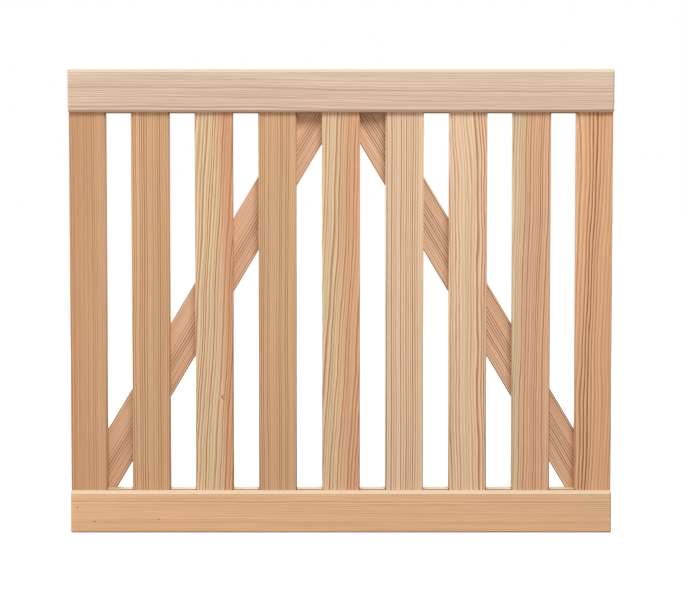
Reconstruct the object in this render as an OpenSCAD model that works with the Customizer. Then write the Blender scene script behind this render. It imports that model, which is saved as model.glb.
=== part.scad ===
// The leaf of a wooden garden gate, in millimetres. Upright pickets stand in the grooves of a
// top and a bottom rail, filler strips close the grooves between them, and two braces behind
// the pickets run from the bottom corners to the middle of the top rail.
// +X runs from the hinge edge to the latch edge, +Y to the back and +Z up. The origin is the
// middle of the bottom rail's end face on the hinge edge.

/* [Gate leaf] */
// Width of the leaf, over the ends of the rails
gate_w = 1000; // [800:5:1400]
// Height of the leaf, from the underside of the bottom rail to the top of the top rail
gate_h = 855; // [600:5:1200]

/* [Rails] */
// Height of each rail
rail_h = 78; // [60:1:110]
// Depth of each rail, from front to back
rail_d = 50; // [45:1:70]
// Thickness of a rail's wall in front of its groove
front_wall = 12; // [8:0.5:15]
// Depth of the groove that holds the pickets
groove_depth = 25; // [15:1:35]
// Width of the bevel that sheds rain, along a rail's two upper edges
rail_top_bevel = 5.5; // [2:0.5:7]
// Width of the bevel along a rail's two lower edges
rail_foot_bevel = 3.5; // [1:0.5:7]
// Width of the eased edge round each end of a rail
rail_end_ease = 3; // [1:0.5:5]

/* [Pickets] */
// Number of pickets
picket_count = 9; // [5:1:10]
// Width of an inner picket
picket_w = 70; // [50:1:85]
// Width of the two end pickets, which are trimmed flush with the ends of the rails
end_picket_w = 67; // [50:1:85]
// Thickness of the pickets
picket_t = 20; // [14:0.5:24]
// Width of the eased long edges of a picket
picket_ease = 2; // [0.5:0.5:4]
// Room above a picket in the top rail's groove, for the wood to swell
head_room = 0.8; // [0.2:0.1:0.9]

/* [Filler strips] */
// How far a filler strip stands out of its groove
filler_rise = 2; // [0:0.5:5]

/* [Braces] */
// Width of a brace, across its grain
brace_w = 70; // [50:1:90]
// Thickness of a brace
brace_t = 18; // [12:0.5:24]
// Width of the eased long edges of a brace
brace_ease = 2; // [0.5:0.5:4]
// Gap between the heads of the two braces
brace_head_gap = 2; // [0.5:0.5:20]

/* [Fit] */
// Room on each face of a picket or filler strip in its groove
groove_fit = 0.15; // [0.1:0.05:0.5]
// Room at each end of a filler strip, beside the pickets
filler_fit = 0.15; // [0.1:0.05:0.5]

/* [Hidden] */
// Wood left beyond a cut, so that the cut passes right through
cut_past = 1;
groove_w = picket_t + 2 * groove_fit;
groove_front = -rail_d / 2 + front_wall;
groove_middle = groove_front + groove_w / 2;
picket_back = groove_middle + picket_t / 2;
top_rail_z = gate_h - rail_h;
// Heights of the two faces between the rails, and of the floors of the two grooves
clear_low = rail_h / 2;
clear_high = top_rail_z - rail_h / 2;
floor_low = clear_low - groove_depth;
floor_high = clear_high + groove_depth;
clear_h = clear_high - clear_low;
inner_count = picket_count - 2;
picket_gap = (gate_w - 2 * end_picket_w - inner_count * picket_w) / (picket_count - 1);
// A brace fills the rectangle from a bottom corner to the middle of the top rail, corner to
// corner: its slope is the diagonal's, turned by the angle that the brace's width takes up
brace_run = gate_w / 2 - brace_head_gap / 2;
brace_diagonal = norm([brace_run, clear_h]);
brace_slope = atan2(clear_h, brace_run) + asin(brace_w / brace_diagonal);

top_rail_color = [0.85, 0.74, 0.64];
bottom_rail_color = [0.85, 0.68, 0.53];
picket_color = [0.80, 0.63, 0.47];
filler_color = [0.88, 0.78, 0.64];
brace_color = [0.79, 0.62, 0.48];

function picket_width(i) = i == 1 || i == picket_count ? end_picket_w : picket_w;
// Distance from the hinge edge to the near side of picket i
function picket_x(i) = i == 1 ? 0 : end_picket_w + (i - 1) * picket_gap + (i - 2) * picket_w;
// A rectangle centred on the origin, with its lower and upper corners cut off at 45 degrees
function bevelled_rectangle(w, h, low, high) = [
    [-w / 2 + low, -h / 2],
    [w / 2 - low, -h / 2],
    [w / 2, -h / 2 + low],
    [w / 2, h / 2 - high],
    [w / 2 - high, h / 2],
    [-w / 2 + high, h / 2],
    [-w / 2, h / 2 - high],
    [-w / 2, -h / 2 + low]
];
function eased_rectangle(w, h, ease) = bevelled_rectangle(w, h, ease, ease);

// A rail about its own middle height: its section, its plan and its front view, each extruded
module rail_blank() {
    intersection() {
        rotate([90, 0, 90])
            linear_extrude(gate_w)
                polygon(bevelled_rectangle(rail_d, rail_h, rail_foot_bevel, rail_top_bevel));
        translate([gate_w / 2, 0, 0])
            linear_extrude(rail_h, center = true)
                polygon(eased_rectangle(gate_w, rail_d, rail_end_ease));
        translate([gate_w / 2, 0, 0])
            rotate([90, 0, 0])
                linear_extrude(rail_d, center = true)
                    polygon(eased_rectangle(gate_w, rail_h, rail_end_ease));
    }
}

// The groove along the top of a rail, cut right through both ends
module groove() {
    translate([-cut_past, groove_front, rail_h / 2 - groove_depth])
        cube([gate_w + 2 * cut_past, groove_w, groove_depth + cut_past]);
}

module bottom_rail() {
    color(bottom_rail_color)
        difference() {
            rail_blank();
            groove();
        }
}

module top_rail() {
    color(top_rail_color)
        translate([0, 0, top_rail_z])
            difference() {
                rail_blank();
                mirror([0, 0, 1])
                    groove();
            }
}

module picket(i) {
    color(picket_color)
        translate([picket_x(i) + picket_width(i) / 2, groove_middle, floor_low])
            linear_extrude(floor_high - head_room - floor_low)
                polygon(eased_rectangle(picket_width(i), picket_t, picket_ease));
}

// The filler strip between pickets i and i + 1, with its underside at height z
module filler(i, z) {
    color(filler_color)
        translate([picket_x(i) + picket_width(i) + filler_fit, picket_back - picket_t, z])
            cube([picket_gap - 2 * filler_fit, picket_t, groove_depth + filler_rise]);
}

module filler_bottom(i) {
    filler(i, floor_low);
}

module filler_top(i) {
    filler(i, clear_high - filler_rise);
}

// A sloping board, cut off level where it meets the two rails
module brace_left() {
    color(brace_color)
        intersection() {
            translate([brace_run / 2, picket_back + brace_t / 2, clear_low + clear_h / 2])
                rotate([0, 90 - brace_slope, 0])
                    linear_extrude(brace_diagonal + brace_w, center = true)
                        polygon(eased_rectangle(brace_w, brace_t, brace_ease));
            translate([-cut_past, picket_back - cut_past, clear_low])
                cube([brace_run + 2 * cut_past, brace_t + 2 * cut_past, clear_h]);
        }
}

module brace_right() {
    translate([gate_w, 0, 0])
        mirror([1, 0, 0])
            brace_left();
}

top_rail();
bottom_rail();
for (i = [1 : picket_count])
    picket(i);
brace_left();
brace_right();
for (i = [1 : picket_count - 1])
    filler_top(i);
for (i = [1 : picket_count - 1])
    filler_bottom(i);
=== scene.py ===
import math

import bmesh
import bpy
from mathutils import Matrix, Vector


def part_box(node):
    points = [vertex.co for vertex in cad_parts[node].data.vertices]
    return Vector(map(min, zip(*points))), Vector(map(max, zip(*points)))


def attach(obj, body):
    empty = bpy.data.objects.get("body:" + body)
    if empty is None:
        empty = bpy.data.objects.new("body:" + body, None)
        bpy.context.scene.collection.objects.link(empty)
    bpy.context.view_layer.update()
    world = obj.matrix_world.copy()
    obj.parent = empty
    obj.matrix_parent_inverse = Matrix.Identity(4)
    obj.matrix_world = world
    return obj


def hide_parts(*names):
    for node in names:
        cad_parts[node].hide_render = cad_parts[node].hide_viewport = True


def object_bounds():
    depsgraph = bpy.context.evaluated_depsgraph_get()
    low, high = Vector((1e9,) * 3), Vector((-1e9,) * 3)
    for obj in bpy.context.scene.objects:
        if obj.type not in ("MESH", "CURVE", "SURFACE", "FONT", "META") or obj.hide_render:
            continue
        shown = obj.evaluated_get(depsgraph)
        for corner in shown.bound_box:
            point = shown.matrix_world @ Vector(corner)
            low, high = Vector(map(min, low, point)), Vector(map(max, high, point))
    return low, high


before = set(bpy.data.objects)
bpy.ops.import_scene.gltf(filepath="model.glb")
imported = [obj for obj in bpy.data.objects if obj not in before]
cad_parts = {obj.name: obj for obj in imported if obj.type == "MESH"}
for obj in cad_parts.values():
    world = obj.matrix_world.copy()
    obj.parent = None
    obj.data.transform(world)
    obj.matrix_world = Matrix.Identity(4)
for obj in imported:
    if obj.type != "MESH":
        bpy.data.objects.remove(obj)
cad_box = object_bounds()


# ---------------------------------------------------------------- Bottom rail
# A planed larch rail, 50 by 78 mm. A groove along its top takes the pickets' feet,
# its upper edges are bevelled to shed rain, and every arris is eased by hand.

def box_mesh(low, high):
    """A bmesh box between two corners."""
    shape = bmesh.new()
    bmesh.ops.create_cube(shape, size=1)
    bmesh.ops.scale(shape, vec=high - low, verts=shape.verts)
    bmesh.ops.translate(shape, vec=(low + high) / 2, verts=shape.verts)
    return shape


def saw_off(shape, point, outward):
    """Saws a convex shape along a plane, and closes it again."""
    everything = shape.verts[:] + shape.edges[:] + shape.faces[:]
    cut = bmesh.ops.bisect_plane(
        shape, geom=everything, dist=1e-6, plane_co=point, plane_no=outward, clear_outer=True
    )
    rim = [part for part in cut["geom_cut"] if isinstance(part, bmesh.types.BMEdge)]
    bmesh.ops.edgeloop_fill(shape, edges=rim)


def ease_edges(shape, width, steps, chosen):
    """Rounds over the edges for which chosen(edge) holds."""
    edges = [edge for edge in shape.edges if chosen(edge)]
    bmesh.ops.bevel(
        shape, geom=edges, offset=width, offset_type="OFFSET", affect="EDGES",
        segments=steps, profile=0.5, material=-1, clamp_overlap=True,
    )


def sharp(edge):
    """An edge where two faces meet at more than 20 degrees."""
    return len(edge.link_faces) == 2 and edge.calc_face_angle(0) > math.radians(20)


def piece_from(shape, name, slot, *nodes):
    """Makes a finished shape into a piece that stands for its CAD nodes."""
    bmesh.ops.recalc_face_normals(shape, faces=shape.faces)
    for face in shape.faces:
        face.smooth = True
    mesh = bpy.data.meshes.new(name)
    shape.to_mesh(mesh)
    shape.free()
    piece = bpy.data.objects.new(name, mesh)
    bpy.context.scene.collection.objects.link(piece)
    crisp = piece.modifiers.new("flat faces stay flat", "WEIGHTED_NORMAL")
    crisp.keep_sharp = True
    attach(piece, "root")
    if nodes:
        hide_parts(*nodes)
    return piece


def carve(shape, cutter):
    """Takes the cutter's shape out of a shape, and gives back what is left."""
    pair = []
    for part in (shape, cutter):
        bmesh.ops.recalc_face_normals(part, faces=part.faces)
        mesh = bpy.data.meshes.new("carving")
        part.to_mesh(mesh)
        part.free()
        pair.append(bpy.data.objects.new("carving", mesh))
        bpy.context.scene.collection.objects.link(pair[-1])
    knife = pair[0].modifiers.new("knife", "BOOLEAN")
    knife.operation = "DIFFERENCE"
    knife.solver = "EXACT"
    knife.object = pair[1]
    depsgraph = bpy.context.evaluated_depsgraph_get()
    left = bmesh.new()
    left.from_object(pair[0], depsgraph)
    for part in pair:
        bpy.data.objects.remove(part)
    return left


class Wire:
    """A shader socket. A sum on wires adds its Math nodes, and node() adds any other node."""

    def __init__(self, tree, socket=None):
        self.tree = tree
        self.socket = socket

    def node(self, kind, settings, inputs, output=0):
        made = self.tree.nodes.new("ShaderNode" + kind)
        for name, value in settings.items():
            setattr(made, name, value)
        for name, value in inputs.items():
            if isinstance(value, Wire):
                self.tree.links.new(value.socket, made.inputs[name])
            else:
                made.inputs[name].default_value = value
        return Wire(self.tree, made.outputs[output] if made.outputs else None)

    def math(self, operation, *others):
        return self.node("Math", {"operation": operation}, dict(enumerate((self, *others))))

    def __add__(self, other):
        return self.math("ADD", other)

    def __sub__(self, other):
        return self.math("SUBTRACT", other)

    def __rsub__(self, other):
        return self.node("Math", {"operation": "SUBTRACT"}, {0: other, 1: self})

    def __mul__(self, other):
        return self.math("MULTIPLY", other)

    def __truediv__(self, other):
        return self.math("DIVIDE", other)

    __radd__ = __add__
    __rmul__ = __mul__

    def rise(self, start, end):
        """0 below start and 1 above end, with a soft step between. It falls where end is below start."""
        settings = {"interpolation_type": "SMOOTHSTEP"}
        return self.node("MapRange", settings, {"Value": self, "From Min": start, "From Max": end})

    def stretch(self, across, through, along):
        """This position, scaled along each of its three axes."""
        scaled = {0: self, 1: (across, through, along)}
        return self.node("VectorMath", {"operation": "MULTIPLY"}, scaled)

    def cloud(self, detail, output=0):
        """Soft noise of about one lump a unit."""
        settings = {"noise_dimensions": "3D"}
        return self.node("TexNoise", settings, {"Vector": self, "Scale": 1.0, "Detail": detail}, output)

    def mix(self, factor, other):
        """This colour, blended towards another by a factor."""
        blend = {"data_type": "RGBA"}
        return self.node("Mix", blend, {0: factor, 6: self, 7: other}, 2)

    def shade(self, factor):
        """This colour, made lighter or darker by a factor."""
        return self.node("VectorMath", {"operation": "SCALE"}, {"Vector": self, "Scale": factor})


def tone(red, green, blue):
    """A colour as a screen shows it, 0 to 255, in the light values that the shader works with."""
    linear = [((v / 255 + 0.055) / 1.055) ** 2.4 for v in (red, green, blue)]
    return (*linear, 1.0)


def wood(name, centre, tilt, early, late, blush, ring, pith, lean=(0.0, 0.0), wander=0.006,
         ripple=0.35, strength=0.6, uneven=2.2, edge=0.0, edge_width=0.03, knots=(), painted_top_light=0.0,
         seed=0.0):
    """Sawn softwood, cut out of a round trunk.

    The grain runs along the board's own length, which tilt turns about Y from upright. early and
    late are the colours of a year's spring and summer wood, and blush tints one side of the board
    past edge. ring is a year's width, pith the place of the trunk's middle across and through
    the board, and lean the slope at which it runs. Each knot is (across, along, radius).
    wander, ripple and uneven say how crooked, wavy and irregular the years' lines are. The top-light factor
    paints light from above: it blends faces that look upwards towards a pale cream.
    """
    material = bpy.data.materials.new(name)
    material.use_nodes = True
    tree = material.node_tree
    tree.nodes.clear()
    start = Wire(tree)
    place = start.node("TexCoord", {}, {}, "Object")
    board = start.node(
        "Mapping", {"vector_type": "TEXTURE"},
        {"Vector": place, "Location": centre, "Rotation": (0.0, tilt, 0.0)},
    )
    across = board.node("SeparateXYZ", {}, {0: board}, 0)
    through = board.node("SeparateXYZ", {}, {0: board}, 1)
    along = board.node("SeparateXYZ", {}, {0: board}, 2)
    shifted = board.node("VectorMath", {"operation": "ADD"}, {0: board, 1: (seed, seed * 0.7, seed * 1.3)})

    # The trunk's slow crooks, then a finer ripple of the years' lines
    crook = shifted.stretch(6, 6, 2.2).cloud(2.0, "Color")
    crook_across = crook.node("SeparateColor", {}, {0: crook}, 0) - 0.5
    crook_through = crook.node("SeparateColor", {}, {0: crook}, 1) - 0.5
    side = across - pith[0] - along * lean[0] + crook_across * wander * 2
    depth = through - pith[1] - along * lean[1] + crook_through * wander * 2
    distance = (side * side + depth * depth).math("SQRT")
    waves = shifted.stretch(70, 70, 11).cloud(2.0) - 0.5
    years = distance / ring + waves * ripple

    # Knots push the years' lines aside
    knot_core = None
    for knot_across, knot_along, radius in knots:
        off_side = (across - knot_across + waves * radius * 0.5) / radius
        off_along = (along - knot_along) / (radius * 1.5)
        far = (off_side * off_side + off_along * off_along).math("SQRT")
        years = years + far.rise(4.0, 0.5) * 0.9
        core = far.rise(1.15, 0.75)
        knot_core = core if knot_core is None else knot_core.math("MAXIMUM", core)

    # Uneven years: wide and narrow, strong and weak
    pace = {"W": years * 0.21 + seed, "Scale": 1.0, "Detail": 1.0}
    years = years + years.node("TexNoise", {"noise_dimensions": "1D"}, pace) * uneven
    weight = years.node("TexWhiteNoise", {"noise_dimensions": "1D"}, {"W": years.math("FLOOR") + seed})
    phase = years.math("FRACT")
    summer = phase.rise(0.25, 0.88) * phase.rise(1.0, 0.9) * (weight * 0.75 + 0.25)

    # Fibres, streaks and broad drifts of colour
    fibre = shifted.stretch(1100, 1100, 22).cloud(2.0)
    streak = shifted.stretch(230, 230, 3.2).cloud(2.0)
    drift = shifted.stretch(16, 16, 1.5).cloud(1.0)
    tint = (across + (drift - 0.5) * 0.03).rise(edge - edge_width / 2, edge + edge_width / 2)
    colour = start.node("Mix", {"data_type": "RGBA"}, {0: tint, 6: early, 7: blush}, 2)
    colour = colour.mix(summer * strength, late)
    colour = colour.shade((streak - 0.5) * 0.34 + (fibre - 0.5) * 0.30 + (drift - 0.5) * 0.12 + 1.0)
    if knot_core is not None:
        colour = colour.mix(knot_core * 0.85, tone(112, 66, 36))

    # Painted top light: faces that look upwards are blended towards a pale cream in place of the light from
    # above, and sawn ends drink the light
    facing = start.node("NewGeometry", {}, {}, "Normal")
    grain_way = (math.sin(tilt), 0.0, math.cos(tilt))
    endwise = start.node("VectorMath", {"operation": "DOT_PRODUCT"}, {0: facing, 1: grain_way}, "Value")
    upward = start.node("SeparateXYZ", {}, {0: facing}, 2)
    if painted_top_light:
        colour = colour.mix(upward.rise(0.4, 0.75) * painted_top_light, tone(236, 221, 194))
    colour = colour.shade(1.0 - endwise.math("ABSOLUTE").rise(0.6, 0.95) * 0.22)

    relief = fibre * 0.6 + streak * 0.3 - summer * 0.5
    bump = start.node("Bump", {}, {"Strength": 0.35, "Distance": 0.0004, "Height": relief})
    rough = 0.66 - summer * 0.08 + (fibre - 0.5) * 0.16
    surface = start.node(
        "BsdfPrincipled", {},
        {"Base Color": colour, "Roughness": rough, "Normal": bump, "Specular IOR Level": 0.35},
    )
    start.node("OutputMaterial", {}, {"Surface": surface})
    return material


rail_bevel = 0.0055
rail_foot_bevel = 0.0035
rail_end_ease = 0.003
rail_corner_ease = 0.0012
groove_fit = 0.00015
screw_head = 0.004
sink_depth = 0.0004
picket_count = 9


def rail_shape(low, high, groove_floor, opens, screws):
    """A rail with its groove opening upwards (1) or downwards (-1), and its screws' countersinks."""
    shape = box_mesh(low, high)
    for side, y in ((-1, low.y), (1, high.y)):
        saw_off(shape, (0, y, high.z - rail_bevel), (0, side, 1))
        saw_off(shape, (0, y, low.z + rail_foot_bevel), (0, side, -1))
        for end, x in ((-1, low.x), (1, high.x)):
            saw_off(shape, (x - end * rail_end_ease, y, 0), (end, side, 0))
    for end, x in ((-1, low.x), (1, high.x)):
        for way, z in ((-1, low.z), (1, high.z)):
            saw_off(shape, (x - end * rail_corner_ease, 0, z), (end, 0, way))
    past = 0.01
    picket_low, picket_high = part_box("picket_1")
    mouth = high.z + past if opens > 0 else low.z - past
    shape = carve(shape, box_mesh(
        Vector((low.x - past, picket_low.y - groove_fit, min(groove_floor, mouth))),
        Vector((high.x + past, picket_high.y + groove_fit, max(groove_floor, mouth))),
    ))
    ease_edges(shape, 0.0007, 2, sharp)
    return carve(shape, countersinks(screws, high.y))


def countersinks(places, back):
    """The shallow round holes that screw heads sit in, as one shape to carve away."""
    holes = bmesh.new()
    for x, z in places:
        lie_back = Matrix.Translation((x, back, z)) @ Matrix.Rotation(math.radians(-90), 4, "X")
        bmesh.ops.create_cone(
            holes, cap_ends=True, segments=32, radius1=screw_head, radius2=screw_head + 0.0006,
            depth=2 * sink_depth, matrix=lie_back,
        )
    return holes


def rail_screws(groove_middle):
    """One screw into the middle of each picket's end, through the rail's back wall."""
    places = []
    for number in range(1, picket_count + 1):
        low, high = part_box(f"picket_{number}")
        places.append(((low.x + high.x) / 2, groove_middle))
    return places


bottom_low, bottom_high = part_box("bottom_rail")
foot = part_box("picket_1")[0].z
bottom_screws = rail_screws((foot + bottom_high.z) / 2)
bottom_rail = piece_from(
    rail_shape(bottom_low, bottom_high, foot, 1, bottom_screws),
    "bottom_rail_board", "bottom_rail_wood", "bottom_rail",
)
bottom_rail.data.materials.append(wood(
    "bottom rail wood", (bottom_low + bottom_high) / 2, math.radians(90),
    early=tone(240, 194, 151), late=tone(198, 138, 92), blush=tone(236, 188, 145),
    ring=0.0038, pith=(-0.14, 0.052), lean=(0.002, 0.004), wander=0.003, ripple=0.4, strength=0.6,
    # its upward faces get painted top light, a pale cream blend
    edge=0.0, edge_width=0.05, painted_top_light=0.75, seed=3.1,
    knots=((-0.009, -0.487, 0.0012), (0.018, -0.455, 0.0012), (0.0135, -0.337, 0.0011)),
))


# ---------------------------------------------------------------- Pickets
# Nine planed boards, 20 by 70 mm, each sawn from its own part of a trunk and so unlike its
# neighbours. Their ends stand in the rails' grooves, and their long edges are rounded.

picket_ease = 0.002
picket_looks = [
    dict(early=tone(208, 160, 119), late=tone(166, 102, 58), blush=tone(214, 169, 128),
         ring=0.0042, pith=(-0.24, 0.05), lean=(0.002, 0.0), strength=0.75, ripple=0.25,
         uneven=1.6, edge=0.004),
    dict(early=tone(224, 180, 138), late=tone(152, 90, 48), blush=tone(219, 174, 130),
         ring=0.0040, pith=(0.30, 0.03), lean=(-0.003, 0.0), strength=0.95, ripple=0.3, uneven=1.0),
    dict(early=tone(234, 204, 162), late=tone(164, 96, 54), blush=tone(223, 168, 128),
         ring=0.0050, pith=(-0.16, 0.060), lean=(0.060, 0.010), strength=1.0, ripple=0.9,
         wander=0.016, edge=0.014, edge_width=0.03, knots=((0.014, -0.176, 0.0014),)),
    dict(early=tone(222, 179, 138), late=tone(152, 92, 50), blush=tone(221, 176, 134),
         ring=0.0040, pith=(-0.30, 0.02), lean=(0.002, 0.0), strength=0.88, ripple=0.3, uneven=1.0),
    dict(early=tone(232, 204, 164), late=tone(178, 106, 66), blush=tone(226, 178, 138),
         ring=0.0050, pith=(0.170, 0.050), lean=(0.050, 0.010), strength=1.0, ripple=0.9,
         wander=0.014, edge=0.0),
    dict(early=tone(240, 207, 172), late=tone(162, 100, 62), blush=tone(240, 206, 170),
         ring=0.0043, pith=(0.28, 0.03), lean=(0.002, 0.0), strength=1.0, ripple=0.3, uneven=1.0),
    dict(early=tone(238, 206, 170), late=tone(176, 106, 68), blush=tone(240, 206, 169),
         ring=0.0046, pith=(0.130, 0.080), lean=(-0.024, 0.010), strength=1.0, ripple=1.1,
         wander=0.014),
    dict(early=tone(227, 199, 160), late=tone(158, 90, 56), blush=tone(229, 182, 143),
         ring=0.0044, pith=(0.200, 0.06), lean=(0.022, 0.0), strength=0.95, ripple=0.8,
         wander=0.012, uneven=1.2, edge=-0.013, edge_width=0.026),
    dict(early=tone(236, 184, 140), late=tone(130, 68, 34), blush=tone(232, 178, 134),
         ring=0.0054, pith=(-0.110, 0.060), lean=(0.036, 0.012), strength=1.0, ripple=0.7,
         wander=0.018, uneven=1.0),
]
for number, look in enumerate(picket_looks, 1):
    low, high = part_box(f"picket_{number}")
    shape = box_mesh(low, high)
    ease_edges(shape, picket_ease, 4, lambda e: abs(e.verts[0].co.z - e.verts[1].co.z) > high.z - low.z - 1e-6)
    board = piece_from(shape, f"picket_{number}_board", "picket_wood", f"picket_{number}")
    board.data.materials.append(
        wood(f"picket {number} wood", (low + high) / 2, 0.0, seed=7.3 * number, **look)
    )


# ---------------------------------------------------------------- Braces
# Two planed boards, 18 by 70 mm, run from the bottom corners to the middle of the top rail.
# They lie flat on the pickets' backs, are sawn off level at both ends, and are screwed on.

brace_width = 0.070
brace_ease = 0.002


def brace_screws(low, high, slope, width, way):
    """Two screws wherever the brace covers enough of a picket. way is 1 or -1, as the brace leans."""
    middle = (low + high) / 2
    half_level = width / 2 / math.sin(slope)
    margin, apart, least = 0.026, 0.044, 0.016
    places = []
    for number in range(1, picket_count + 1):
        near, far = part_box(f"picket_{number}")
        rise = (near.x + far.x) / 2 - middle.x
        height = middle.z + way * rise * math.tan(slope)
        if height < low.z - 0.1 or height > high.z + 0.1:
            continue
        height = min(max(height, low.z + margin + apart / 2), high.z - margin - apart / 2)
        for z in (height - apart / 2, height + apart / 2):
            centre = middle.x + way * (z - middle.z) / math.tan(slope)
            left = max(near.x, centre - half_level)
            right = min(far.x, centre + half_level)
            if right - left > least:
                places.append(((left + right) / 2, z))
    return places


brace_looks = {
    "brace_left": dict(early=tone(244, 200, 161), late=tone(146, 84, 56), blush=tone(240, 196, 158),
                       ring=0.0043, pith=(0.20, 0.04), lean=(0.003, 0.0), strength=0.85,
                       uneven=0.6, seed=41.7),
    "brace_right": dict(early=tone(242, 200, 162), late=tone(130, 72, 46), blush=tone(238, 195, 157),
                        ring=0.0040, pith=(-0.26, 0.03), lean=(0.002, 0.0), strength=0.95,
                        uneven=0.6, seed=57.2),
}
every_brace_screw = []
for way, (node, look) in zip((1, -1), brace_looks.items()):
    low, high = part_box(node)
    run, rise = high.x - low.x, high.z - low.z
    diagonal = math.hypot(run, rise)
    slope = math.atan2(rise, run) + math.asin(brace_width / diagonal)
    tilt = way * (math.radians(90) - slope)
    middle = (low + high) / 2
    half = Vector((brace_width / 2, (high.y - low.y) / 2, (diagonal + brace_width) / 2))
    shape = box_mesh(-half, half)
    ease_edges(shape, brace_ease, 4, lambda e: abs(e.verts[0].co.z - e.verts[1].co.z) > half.z)
    bmesh.ops.rotate(shape, cent=(0, 0, 0), matrix=Matrix.Rotation(tilt, 3, "Y"), verts=shape.verts)
    bmesh.ops.translate(shape, vec=middle, verts=shape.verts)
    saw_off(shape, (0, 0, low.z), (0, 0, -1))
    saw_off(shape, (0, 0, high.z), (0, 0, 1))
    places = brace_screws(low, high, slope, brace_width, way)
    every_brace_screw += places
    shape = carve(shape, countersinks(places, high.y))
    board = piece_from(shape, f"{node}_board", "brace_wood", node)
    board.data.materials.append(wood(f"{node} wood", middle, tilt, **look))


# ---------------------------------------------------------------- Top rail
# The same section as the bottom rail, hung the other way up on the pickets, so that its
# groove opens downwards and its bevelled edges are on top. Paler, with a lively wavy grain.

top_low, top_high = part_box("top_rail")
head_room = 0.0008
groove_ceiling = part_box("picket_1")[1].z + head_room
top_screws = rail_screws((top_low.z + groove_ceiling) / 2)
top_rail = piece_from(
    rail_shape(top_low, top_high, groove_ceiling, -1, top_screws),
    "top_rail_board", "top_rail_wood", "top_rail",
)
top_rail.data.materials.append(wood(
    "top rail wood", (top_low + top_high) / 2, math.radians(90),
    early=tone(227, 201, 178), late=tone(188, 142, 114), blush=tone(223, 194, 170),
    ring=0.0040, pith=(0.14, 0.045), lean=(0.004, 0.006), wander=0.005, ripple=1.1, strength=0.7,
    # its upward faces get painted top light, a pale cream blend
    edge_width=0.06, painted_top_light=0.8, seed=19.4,
))


# ---------------------------------------------------------------- Filler strips
# Short offcuts, browner than the rails, cut to fit between the pickets, close the rails' grooves
# against rain; their upward faces carry painted top light. They stand two millimetres out of the groove, with
# sharp sawn arrises.

for rail, way in (("bottom", 0), ("top", 1)):
    for number in range(1, picket_count):
        node = f"filler_{rail}_{number}"
        low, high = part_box(node)
        shape = box_mesh(low, high)
        ease_edges(shape, 0.0004, 1, sharp)
        strip = piece_from(shape, f"{node}_strip", "filler_wood", node)
        strip.data.materials.append(wood(
            f"{node} wood", (low + high) / 2, math.radians(90),
            early=tone(192, 154, 118), late=tone(158, 116, 80), blush=tone(186, 148, 112),
            # their upward faces get painted top light, a pale cream blend
            ring=0.0040, pith=(0.12, 0.02), strength=0.6, painted_top_light=0.85, seed=5.9 * number + 31 * way,
        ))


# ---------------------------------------------------------------- Screws
# Small countersunk stainless screws with a six-lobed recess, driven in from the back, so that
# the front stays clean: one through each rail into each picket, and two where a brace crosses.

head_depth = 0.0024
recess_depth = 0.0015


def screw_heads(rows):
    """The heads of all the screws in rows of (places, back face)."""
    heads = bmesh.new()
    for places, back in rows:
        flush = back - sink_depth / 2
        for x, z in places:
            lie_back = Matrix.Translation((x, flush - head_depth / 2, z)) @ Matrix.Rotation(
                math.radians(-90), 4, "X"
            )
            made = bmesh.ops.create_cone(
                heads, cap_ends=True, segments=24, radius1=0.0022, radius2=screw_head - 0.0001,
                depth=head_depth, matrix=lie_back,
            )
            rim = [v for v in made["verts"] if v.co.y > flush - 1e-5]
            top = next(f for f in rim[0].link_faces if all(v in rim for v in f.verts))
            bmesh.ops.inset_region(heads, faces=[top], thickness=0.0005, use_even_offset=True)
            bmesh.ops.inset_region(heads, faces=[top], thickness=0.0014, use_even_offset=True)
            centre = top.calc_center_median()
            for place, corner in enumerate(top.verts):
                if place % 4 == 2:
                    corner.co = centre + (corner.co - centre) * 0.72
            deep = bmesh.ops.extrude_discrete_faces(heads, faces=[top])["faces"][0]
            bmesh.ops.translate(heads, vec=(0, -recess_depth, 0), verts=deep.verts)
    return heads


screws = piece_from(
    screw_heads([
        (bottom_screws, bottom_high.y),
        (top_screws, top_high.y),
        (every_brace_screw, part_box("brace_left")[1].y),
    ]),
    "back_screws", None,
)
steel = bpy.data.materials.new("stainless steel")
steel.use_nodes = True
steel.node_tree.nodes.clear()
start = Wire(steel.node_tree)
spot = start.node("TexCoord", {}, {}, "Object")
turned = spot.stretch(900, 900, 900).cloud(2.0)
start.node("OutputMaterial", {}, {"Surface": start.node("BsdfPrincipled", {}, {
    "Base Color": tone(196, 194, 190), "Metallic": 1.0, "Roughness": turned * 0.18 + 0.24,
})})
screws.data.materials.append(steel)


# ---------------------------------------------------------------- Studio
# A white room: the leaf stands on a white floor, between broad, soft lamps.

scene = bpy.context.scene
scene.view_settings.view_transform = "Standard"
leaf_low, leaf_high = cad_box
leaf_middle = Vector([(a + b) / 2 for a, b in zip(leaf_low, leaf_high)])

floor_shape = bmesh.new()
bmesh.ops.create_grid(floor_shape, size=20)
bmesh.ops.translate(floor_shape, vec=(leaf_middle.x, 0, leaf_low[2] - 0.0005), verts=floor_shape.verts)
floor_mesh = bpy.data.meshes.new("floor")
floor_shape.to_mesh(floor_mesh)
floor_shape.free()
floor = bpy.data.objects.new("floor", floor_mesh)
scene.collection.objects.link(floor)


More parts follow.
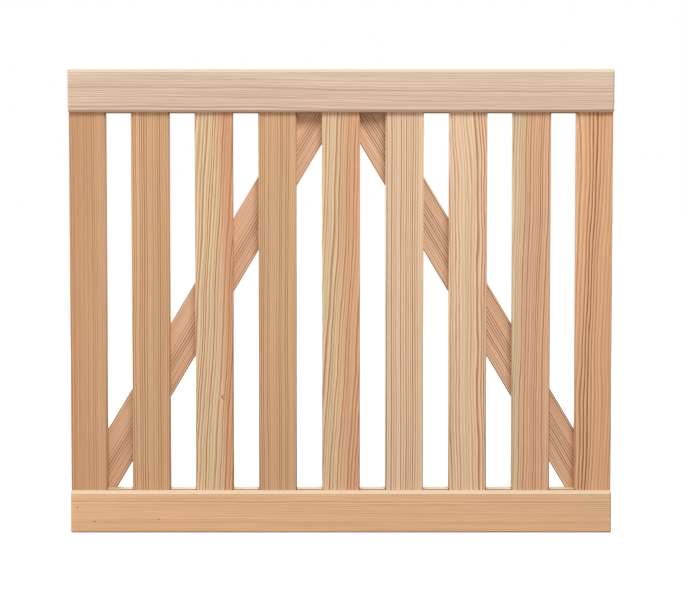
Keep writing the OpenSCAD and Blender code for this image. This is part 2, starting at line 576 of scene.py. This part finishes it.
def straight_view(wire):
    """1 where a camera, a mirror or a glass pane looks straight at the surface."""
    path = "LightPath"
    seen = wire.node(path, {}, {}, "Is Camera Ray")
    mirrored = wire.node(path, {}, {}, "Is Glossy Ray")
    through = wire.node(path, {}, {}, "Is Transmission Ray")
    return seen.math("MAXIMUM", mirrored).math("MAXIMUM", through)


paper = bpy.data.materials.new("white paper")
paper.use_nodes = True
paper.node_tree.nodes.clear()
start = Wire(paper.node_tree)
start.node("OutputMaterial", {}, {"Surface": start.node("BsdfPrincipled", {}, {
    "Base Color": (0.5, 0.5, 0.5, 1.0), "Roughness": 0.9, "Specular IOR Level": 0.0,
    "Emission Color": straight_view(start), "Emission Strength": 0.85,
})})
floor_mesh.materials.append(paper)

fill_light = 0.38
world = bpy.data.worlds.new("white room")
scene.world = world
world.use_nodes = True
world.node_tree.nodes.clear()
start = Wire(world.node_tree)
level = straight_view(start) * (1.0 - fill_light) + fill_light
start.node("OutputWorld", {}, {"Surface": start.node("Background", {}, {
    "Color": (1.0, 1.0, 1.0, 1.0), "Strength": level,
})})


def soft_lamp(name, place, width, height, power):
    """A square lamp that faces the middle of the leaf."""
    light = bpy.data.lights.new(name, "AREA")
    light.shape = "RECTANGLE"
    light.size, light.size_y = width, height
    light.energy = power
    lamp = bpy.data.objects.new(name, light)
    scene.collection.objects.link(lamp)
    lamp.location = place
    lamp.rotation_euler = (leaf_middle - Vector(place)).to_track_quat("-Z", "Y").to_euler()


soft_lamp("front lamp", (1.3, -2.4, 2.8), 1.6, 1.3, 66)
soft_lamp("side lamp", (-2.4, -0.8, 1.0), 1.2, 1.6, 40)
soft_lamp("back lamp", (-0.6, 2.9, 1.7), 2.4, 1.6, 62)

lens = 85.0
distance = 2.95
above_middle = 0.25
tilt_down = math.radians(2.62)
camera_data = bpy.data.cameras.new("camera")
camera_data.lens = lens
camera_data.sensor_width = 36.0
camera_data.shift_y = -0.088
camera = bpy.data.objects.new("camera", camera_data)
scene.collection.objects.link(camera)
camera.location = (leaf_middle.x, leaf_low[1] - distance, leaf_middle.z + above_middle)
camera.rotation_euler = (math.radians(90) - tilt_down, 0, 0)
scene.camera = camera
